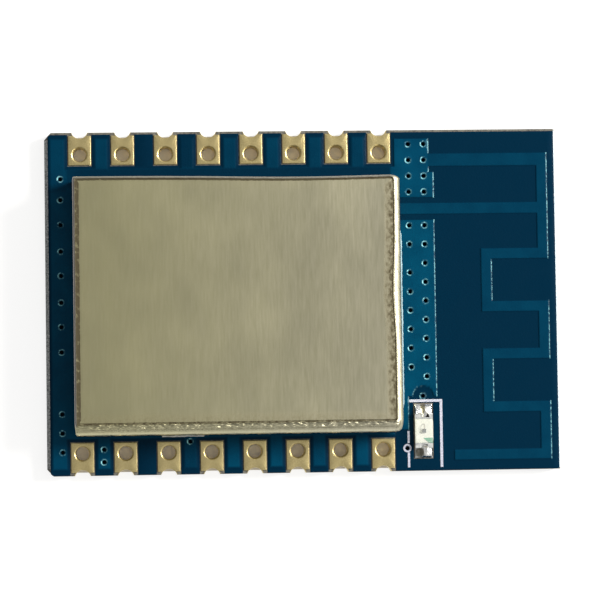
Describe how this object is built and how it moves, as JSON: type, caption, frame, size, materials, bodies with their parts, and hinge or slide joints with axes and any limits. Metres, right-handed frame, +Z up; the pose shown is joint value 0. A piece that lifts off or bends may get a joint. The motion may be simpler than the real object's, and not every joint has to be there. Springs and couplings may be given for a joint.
{
  "type": "wifi module",
  "caption": "Small blue castellated radio board with a folded metal shield can, gold edge pads, a printed folded antenna and a status LED.",
  "frame": {"origin": "middle of the board's outline, on the plane that its underside rests on", "axes": "+X to the antenna end, +Y to the back edge with pads 1 to 8, +Z up out of the can"},
  "size_m": [0.024, 0.016, 0.003],
  "materials": {
    "glass_epoxy": "rough cut glass-epoxy laminate",
    "copper_foil": "rolled copper foil",
    "gold_plate": "gold over nickel on copper, satin",
    "solder_mask": "blue solder mask ink, glossy",
    "white_ink": "screen-printed white ink",
    "nickel_silver_sheet": "rolled nickel-silver sheet, satin",
    "solder": "reflowed tin solder",
    "white_moulding": "white moulded resin",
    "clear_resin": "clear cast resin",
    "led_crystal": "sawn light-emitting crystal",
    "black_moulding": "black moulding compound",
    "white_ceramic": "fired alumina",
    "tan_ceramic": "fired tan ceramic",
    "grey_ceramic": "fired grey ceramic"
  },
  "bodies": {
    "root": {"laminate_core": "glass_epoxy", "ground_pour_top": "copper_foil", "ground_pour_bottom": "copper_foil", "antenna_trace": "copper_foil", "via_barrels": "copper_foil", "component_lands": "gold_plate", "solder_mask_top": "solder_mask", "solder_mask_bottom": "solder_mask", "silkscreen": "white_ink", "shield_can": "nickel_silver_sheet", "shield_solder": "solder", "led_base": "white_moulding", "led_terminals": "solder", "led_die": "led_crystal", "led_bond_wire": "gold_plate", "led_lens": "clear_resin", "led_solder": "solder", "radio_chip_body": "black_moulding", "radio_chip_leads": "solder", "flash_body": "black_moulding", "flash_leads": "solder", "crystal_base": "white_ceramic", "crystal_lid": "nickel_silver_sheet", "castellated_pad_1": "gold_plate", "castellated_pad_2": "gold_plate", "castellated_pad_3": "gold_plate", "castellated_pad_4": "gold_plate", "castellated_pad_5": "gold_plate", "castellated_pad_6": "gold_plate", "castellated_pad_7": "gold_plate", "castellated_pad_8": "gold_plate", "castellated_pad_9": "gold_plate", "castellated_pad_10": "gold_plate", "castellated_pad_11": "gold_plate", "castellated_pad_12": "gold_plate", "castellated_pad_13": "gold_plate", "castellated_pad_14": "gold_plate", "castellated_pad_15": "gold_plate", "castellated_pad_16": "gold_plate", "capacitor_1": "tan_ceramic", "capacitor_2": "tan_ceramic", "capacitor_3": "tan_ceramic", "capacitor_4": "tan_ceramic", "capacitor_5": "tan_ceramic", "capacitor_6": "tan_ceramic", "capacitor_7": "tan_ceramic", "capacitor_8": "tan_ceramic", "resistor_1": "black_moulding", "resistor_2": "black_moulding", "resistor_3": "black_moulding", "resistor_4": "black_moulding", "inductor_1": "grey_ceramic", "inductor_2": "grey_ceramic"}
  },
  "joints": []
}
